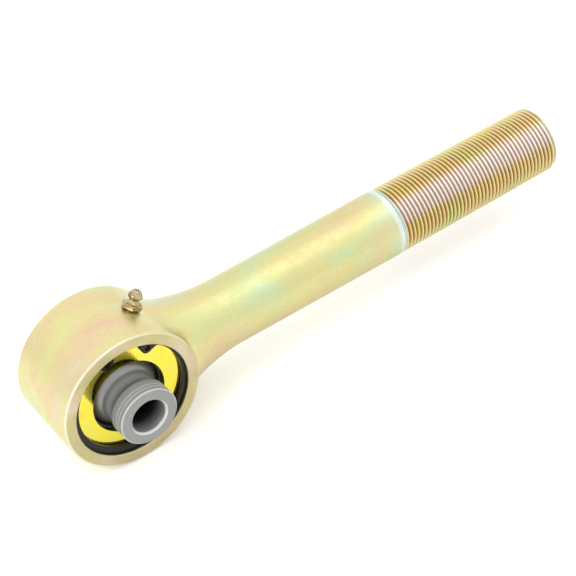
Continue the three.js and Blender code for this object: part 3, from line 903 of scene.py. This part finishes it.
def chromate():
    """Yellow chromate over zinc: a pale gold metal whose film drifts through the hues; some highlights
    and shade on it are painted.
    """
    shader = Shader("yellow_chromate", 1.0, 0.4)
    along = shader.stretched(0.5, 1.0, 1.0)
    drift = shader.noise(42, 2, along, 0.5, 0.5)
    film = shader.ramp(drift, [
        (0.28, "#f0d4b0"), (0.40, "#f0dea8"), (0.52, "#eee6a4"), (0.64, "#e6eaa8"),
        (0.76, "#d8eec4"),
    ])
    blush = shader.noise(36, 2, shader.stretched(0.6, 1.0, 1.0, (0.31, 0.17, 0.23)), 0.5, 0.4)
    film = shader.mix(shader.spread(blush, 0.54, 0.72, 0.0, 0.6), film, "#f4d6c8")
    thin = shader.noise(30, 1, shader.stretched(0.7, 1.0, 1.0, (0.57, 0.41, 0.11)), 0.5, 0.3)
    film = shader.mix(shader.spread(thin, 0.56, 0.76, 0.0, 0.6), film, "#d8f0d8")
    streaks = shader.noise(150, 2, shader.stretched(0.12, 1, 1), 0.6)
    film = shader.mix(shader.spread(streaks, 0.42, 0.75, 0.0, 0.3), film, "#f2cc98")
    x = shader.apart("X")
    drip = shader.math("MULTIPLY_ADD", shader.noise(70, 2), DRIP_LENGTH * MM, x)
    film = shader.mix(shader.over(drip, PALE_END_X, 0.0, 0.75), film, "#def2cc")
    # painted highlight: a near-white, faintly mint band round the shoulder
    shoulder = shader.over(x, SHOULDER_HIGHLIGHT_X)
    film = shader.mix(shoulder, film, "#f2fff2")
    # the thread's film, with painted shade in its roots and a painted highlight along one side
    film = shader.mix(on_thread(shader), film, thread_film_and_painted_light(shader))
    # painted highlight on the eye's rim chamfers, strongest towards -X
    film = shader.mix(rim_highlight(shader), film, "#fbf8ee")
    film = shader.mix(machined_face(shader), film, face_film(shader))
    speckle = shader.ramp(shader.noise(1400, 2, None, 0.7), [(0.3, "#f0f0f0"), (0.7, "#ffffff")])
    film = shader.mix(1.0, film, speckle, "MULTIPLY")
    level = shader.mix(shader.over(x, EYE_TO_SHANK_X), EYE_REFLECTANCE, FILM_REFLECTANCE)
    # painted light: the thread's lighter grey offsets the shade in its grooves
    level = shader.mix(on_thread(shader), level, THREAD_LIGHTENED_LEVEL)
    shader.colour(shader.mix(1.0, film, level, "MULTIPLY"))
    shader.roughness(shader.spread(shader.noise(260, 3, None, 0.6), 0.3, 0.7, 0.36, 0.46))
    shader.bump(shader.noise(120, 2), 0.3, 0.2)
    shader.bump(shader.noise(1100, 2), 0.12, 0.02)
    return shader.material


def rim_highlight(shader):
    """Painted highlight on the chamfered rims of the eye: patchy, and strongest towards -X."""
    from_middle = shader.math("ABSOLUTE", shader.apart("Y"))
    start = EYE_HALF_WIDTH - RIM_CHAMFER
    rim = shader.over(from_middle, (start - 0.1, start + 0.2))
    patchy = shader.spread(shader.noise(70, 2), 0.35, 0.6, 0.5, 1.0)
    outward = shader.over(shader.apart("X"), (-10, 22), 0.95, 0.3)
    return shader.math("MULTIPLY", rim, shader.math("MULTIPLY", patchy, outward))


def machined_face(shader):
    """How much of the turned ends of the eye shows: a duller, olive film inside its rims."""
    from_middle = shader.math("ABSOLUTE", shader.apart("Y"))
    return shader.over(from_middle, (EYE_HALF_WIDTH - 0.3, EYE_HALF_WIDTH - 0.1))


def face_film(shader):
    """The film on the turned faces, olive with tan and pink clouds."""
    return shader.ramp(shader.noise(55, 2), [
        (0.35, "#cfc88e"), (0.48, "#d8cb96"), (0.58, "#e2cfa4"), (0.7, "#e6d8c0")])


def on_thread(shader):
    return shader.over(shader.apart("X"), THREAD_FILM_X)


def thread_film_and_painted_light(shader):
    """Pale crests and brown roots, the roots darkened partly as painted shade, a painted highlight along
    one side, and a pale green end.
    """
    flat = shader.across((0, 1, 1))
    radius = shader.length(flat)
    depth = shader.over(radius, (THREAD_RADIUS - THREAD_DEPTH, THREAD_RADIUS - 0.15), 1.0, 0.0)
    clouds = shader.noise(60, 2)
    crest = shader.ramp(clouds, [(0.35, "#f2e6a0"), (0.5, "#f4e2b0"), (0.65, "#eaeaa4")])
    # the browner roots are partly the film's colour and partly painted shade in the grooves
    root_film_and_shade = shader.ramp(clouds, [(0.35, "#c29a4e"), (0.5, "#be8644"), (0.65, "#b29c48")])
    from_line = shader.node("ShaderNodeVectorMath", operation="DISTANCE")
    shader.feed(from_line.inputs[0], flat)
    from_line.inputs[1].default_value = Vector(THREAD_HIGHLIGHT_LINE) * MM
    thread_highlight = shader.over(from_line.outputs["Value"], THREAD_HIGHLIGHT_REACH, 0.9, 0.0)
    film = shader.mix(depth, crest, root_film_and_shade)
    # painted highlight: a near-white band along one side of the thread, browner in the roots
    film = shader.mix(thread_highlight, film, shader.mix(depth, "#fffafa", "#cdb0a0"))
    end = shader.over(shader.apart("X"), (THREAD_END_X - 3, THREAD_END_X - 1))
    return shader.mix(end, film, "#e4ead0")


def turned_place(shader):
    """Radius from the Y axis, and height along it."""
    return shader.length(shader.across((1, 0, 1))), shader.apart("Y")


def turning_marks(shader, pitch, strength, depth):
    """Fine rings left by a lathe that turned the piece about the Y axis."""
    radius, height = turned_place(shader)
    where = shader.node("ShaderNodeCombineXYZ", X=radius, Y=height)
    rings = shader.noise(1 / (pitch * MM), 3, where.outputs[0], 0.7)
    shader.bump(rings, strength, depth)
    return rings


NECK_FINISH_Y = (15.0, 18.0)          # the duller finish starts here, outside the sphere
FACE_FINISH_Y = (32.5, 33.2)          # and stops at the end face
NECK_SHADE_Y = (18.5, 25.0)           # painted shade: the neck darkens towards the back of the collar
BORE_SHADE_Y = (18.5, 33.0)            # painted shade: the bore turns black further in than this, with painted light at its mouth
BORE_WALL = (BALL_BORE_RADIUS + 0.05, BALL_BORE_RADIUS + 0.2)


def turned_steel():
    """The ball: bare turned steel, duller on neck and collar, with painted shade in its neck and bore
    and painted highlights on its edges.
    """
    shader = Shader("turned_steel", 0.75, 0.38)
    rings = turning_marks(shader, 0.3, 0.4, 0.01)
    radius, height = turned_place(shader)
    depth = shader.math("ABSOLUTE", height)
    cloud = shader.noise(160, 2)
    steel = shader.mix(shader.spread(cloud, 0.3, 0.7), shader.ramp(rings, [
        (0.3, "#747474"), (0.7, "#90908d")]), "#828280")
    inside = shader.over(radius, BORE_WALL, 1.0, 0.0)
    outside = shader.math("SUBTRACT", 1.0, inside)
    dull = shader.math("MULTIPLY", outside, shader.band(depth, *NECK_FINISH_Y, *FACE_FINISH_Y))
    steel = shader.mix(dull, steel, shader.ramp(rings, [(0.3, "#6a6b6e"), (0.7, "#86878a")]))
    # painted shade in the neck behind the collar
    steel = neck_shade(shader, dull, depth, steel)
    # painted highlights along the groove rims
    steel = groove_rim_highlights(shader, dull, depth, steel)
    # painted highlights on the collar's and the bore's chamfers
    steel = chamfer_highlights(shader, radius, depth, steel)
    # painted light and shade down the bore: light at the mouth, black further in
    bore_light_and_shade = shader.ramp(shader.over(depth, BORE_SHADE_Y), [
        (0.0, "#0c0c0e"), (0.4, "#545458"), (1.0, "#dcdcdc")])
    shader.colour(shader.mix(inside, steel, bore_light_and_shade))
    shader.metallic(shader.math("MULTIPLY_ADD", dull, -0.6, 0.75))
    gloss = shader.spread(rings, 0.2, 0.8, 0.28, 0.42)
    shader.roughness(shader.math("MULTIPLY_ADD", dull, 0.12, gloss))
    return shader.material


def neck_shade(shader, dull, depth, steel):
    """Painted shade: darker steel where the neck runs in behind the collar."""
    shaded = shader.ramp(shader.over(depth, NECK_SHADE_Y), [(0.0, "#88898c"), (1.0, "#2a2b2d")])
    behind = shader.over(depth, (COLLAR_REAR_Y, COLLAR_REAR_Y + 0.2), 1.0, 0.0)
    return shader.mix(shader.math("MULTIPLY", dull, behind), steel, shaded)


def groove_rim_highlights(shader, dull, depth, steel):
    """Painted highlights: thin bright lines along the rims of the collar's two grooves."""
    for groove_y in COLLAR_GROOVES:
        rim = (groove_y + COLLAR_GROOVE_WIDTH / 2 + 0.12) * MM
        away = shader.math("ABSOLUTE", shader.math("SUBTRACT", depth, rim))
        line = shader.math("MULTIPLY", dull, shader.over(away, (0.06, 0.2), 0.8, 0.0))
        steel = shader.mix(line, steel, "#f0f0ee")
    return steel


def chamfer_highlights(shader, radius, depth, steel):
    """Painted highlights: the collar's outer chamfer and the bore's, brighter than the faces beside
    them.
    """
    on_chamfer = shader.math("ADD", radius, depth)
    chamfer_sum = COLLAR_RADIUS + BALL_HALF_WIDTH - COLLAR_CHAMFER
    rim = shader.over(radius, (COLLAR_RADIUS - 0.5, COLLAR_RADIUS - 0.3))
    outer = shader.math("MULTIPLY", rim, shader.over(on_chamfer, (chamfer_sum - 0.4, chamfer_sum - 0.1)))
    steel = shader.mix(outer, steel, "#a6a6a4")
    start = BALL_BORE_RADIUS
    end = BALL_BORE_RADIUS + BALL_BORE_CHAMFER
    inner = shader.band(radius, start + 0.15, start + 0.4, end - 0.3, end - 0.05)
    return shader.mix(inner, steel, "#bcbcb8")


def bright_zinc():
    """The side washers: bright yellow zinc, near a mirror, with a slight stamped waviness."""
    shader = Shader("bright_yellow_zinc", 1.0, 0.1)
    cloud = shader.noise(120, 2)
    shader.colour(shader.ramp(cloud, [(0.3, "#d2bc4c"), (0.5, "#d6c944"), (0.7, "#cfc55a")]))
    shader.roughness(shader.spread(shader.noise(700, 3), 0.3, 0.7, 0.07, 0.16))
    shader.bump(shader.noise(90, 1), 0.3, 0.12)
    return shader.material


def black_phosphate():
    """The snap rings: oiled black phosphate, a little brown where it has worn."""
    shader = Shader("black_phosphate", 0.55, 0.34)
    worn = shader.noise(380, 4, None, 0.65)
    shader.colour(shader.ramp(worn, [(0.35, "#100e0c"), (0.6, "#1c1713"), (0.8, "#322821")]))
    shader.roughness(shader.spread(worn, 0.3, 0.75, 0.28, 0.45))
    shader.bump(shader.noise(2400, 2), 0.25, 0.01)
    return shader.material


def black_polymer():
    """The races: moulded black polymer with a film of grease."""
    shader = Shader("black_polymer", 0.0, 0.32)
    cloud = shader.noise(300, 3)
    shader.colour(shader.ramp(cloud, [(0.35, "#08080a"), (0.7, "#141416")]))
    shader.roughness(shader.spread(cloud, 0.3, 0.7, 0.24, 0.4))
    shader.bump(shader.noise(900, 2), 0.2, 0.02)
    return shader.material


def fitting_zinc():
    """The grease fitting: a bright film that runs from olive to copper."""
    shader = Shader("fitting_zinc", 1.0, 0.17)
    drift = shader.noise(210, 2, None, 0.5, 0.4)
    shader.colour(shader.ramp(drift, [
        (0.3, "#8a8a66"), (0.45, "#a69e80"), (0.55, "#a08862"), (0.7, "#886648")]))
    shader.roughness(shader.spread(shader.noise(900, 3), 0.3, 0.7, 0.08, 0.18))
    shader.bump(shader.noise(800, 2), 0.2, 0.02)
    return shader.material


def spring_steel():
    """The check ball and its spring: bright, drawn and polished steel."""
    shader = Shader("spring_steel", 1.0, 0.2)
    cloud = shader.noise(2500, 2)
    shader.colour(shader.ramp(cloud, [(0.3, "#9a9d8e"), (0.7, "#b8bab0")]))
    shader.roughness(shader.spread(cloud, 0.3, 0.7, 0.15, 0.28))
    return shader.material


def floor_paper():
    """The pale studio floor."""
    shader = Shader("floor_paper", 0.0, 0.85)
    shader.colour(shader.ramp(shader.noise(30, 2), [(0.3, "#f9f9f9"), (0.7, "#fbfbfb")]))
    return shader.material


# ------------------------------------------------------------------ assembly


def build_pieces():
    chromate_film = chromate()
    steel = turned_steel()
    zinc = bright_zinc()
    phosphate = black_phosphate()
    polymer = black_polymer()
    bright_steel = spring_steel()

    finish_piece(housing(), "housing", chromate_film, ["rod_end_housing"])
    finish_piece(ball(), "ball", steel, ["ball"])
    for side_name, side in (("front", -1), ("back", 1)):
        finish_piece(race(side, side_name + "_race_half"), "races", polymer,
                     [side_name + "_race"])
        finish_piece(side_washer(side, side_name + "_washer"), "housing", zinc,
                     [side_name + "_side_washer"])
        finish_piece(snap_ring(side, side_name + "_retaining_ring"), "housing", phosphate,
                     [side_name + "_snap_ring"])
    in_place = fitting_matrix()
    fitting_parts = [
        (fitting_body(), "housing", fitting_zinc(), "fitting_zinc", "grease_fitting_body", 0.1),
        (check_ball(), "check_ball", bright_steel, "spring_steel", "grease_check_ball", 0.0),
        (spring(), "housing", bright_steel, "spring_steel", "grease_spring", 0.0),
    ]
    for piece, body, material, slot_name, node, bevel in fitting_parts:
        piece.data.transform(in_place)
        finish_piece(piece, body, material, [node], bevel=bevel)
    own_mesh(piece)


# ------------------------------------------------------------------ stage, light and camera

CAMERA_AZIMUTH = -29.93      # degrees, 0 looks along +Y
CAMERA_ELEVATION = 40.54
CAMERA_ROLL = -8.69
CAMERA_DISTANCE = 782.36
CAMERA_TARGET = (91.95, -1.45, -5.15)
LENS_IN_FRAME_WIDTHS = 3.06528
SENSOR_WIDTH = 36.0
FLOOR_HALF_WIDTH = 1500.0
FLOOR_GAP = 0.4


def stage_floor():
    height = housing_low.z - FLOOR_GAP
    body = Body()
    steps = np.linspace(-FLOOR_HALF_WIDTH, FLOOR_HALF_WIDTH, 9)
    body.add_grid(np.array([[(x, y, height) for x in steps] for y in steps]))
    made = body.mesh_object("studio_floor")
    if made.data.polygons[0].normal.z < 0:
        made.data.flip_normals()
    made.data.materials.append(floor_paper())


def area_light(name, place, target, size, watts):
    lamp = bpy.data.lights.new(name, "AREA")
    lamp.shape = "RECTANGLE"
    lamp.size, lamp.size_y = size
    lamp.energy = watts
    made = bpy.data.objects.new(name, lamp)
    bpy.context.scene.collection.objects.link(made)
    made.location = place
    made.rotation_euler = (Vector(target) - Vector(place)).to_track_quat("-Z", "Y").to_euler()


def studio():
    """A white tent, a little greyer low down, with two soft strips of light."""
    world = bpy.data.worlds.new("white_tent")
    world.use_nodes = True
    bpy.context.scene.world = world
    tree = world.node_tree
    where = tree.nodes.new("ShaderNodeTexCoord")
    apart = tree.nodes.new("ShaderNodeSeparateXYZ")
    ramp = tree.nodes.new("ShaderNodeValToRGB")
    spread = tree.nodes.new("ShaderNodeMapRange")
    spread.inputs["From Min"].default_value = -0.2
    spread.inputs["From Max"].default_value = 1.0
    tree.links.new(where.outputs["Generated"], apart.inputs[0])
    tree.links.new(apart.outputs["Z"], spread.inputs["Value"])
    tree.links.new(spread.outputs[0], ramp.inputs[0])
    tree.links.new(ramp.outputs[0], tree.nodes["Background"].inputs["Color"])
    stops = ramp.color_ramp.elements
    stops[0].position, stops[0].color = 0.0, linear("#e8e8e8")
    stops[1].position, stops[1].color = 0.7, linear("#ffffff")
    tree.nodes["Background"].inputs["Strength"].default_value = 1.6
    area_light("overhead_strip", (0.48, -0.17, 0.91), (0.1, 0, 0), (0.9, 0.35), 0.9)
    area_light("left_strip", (-0.7, -0.2, 0.68), (0.0, 0, 0), (0.12, 0.5), 2.5)


def camera():
    azimuth, elevation, roll = (math.radians(a) for a in
                                (CAMERA_AZIMUTH, CAMERA_ELEVATION, CAMERA_ROLL))
    back = Vector((math.sin(azimuth) * math.cos(elevation),
                   -math.cos(azimuth) * math.cos(elevation), math.sin(elevation)))
    right = (-back).cross(Vector((0, 0, 1))).normalized()
    up = right.cross(-back)
    leaned = right * math.cos(roll) + up * math.sin(roll)
    axes = Matrix((leaned, back.cross(leaned), back)).transposed()
    data = bpy.data.cameras.new("camera")
    data.sensor_width = SENSOR_WIDTH
    data.lens = SENSOR_WIDTH * LENS_IN_FRAME_WIDTHS
    data.clip_start, data.clip_end = 0.01, 10
    made = bpy.data.objects.new("camera", data)
    bpy.context.scene.collection.objects.link(made)
    place = (Vector(CAMERA_TARGET) + back * CAMERA_DISTANCE) * MM
    made.matrix_world = Matrix.Translation(place) @ axes.to_4x4()
    bpy.context.scene.camera = made


camera()
stage_floor()
studio()
build_pieces()
bpy.context.scene.view_settings.view_transform = "Standard"
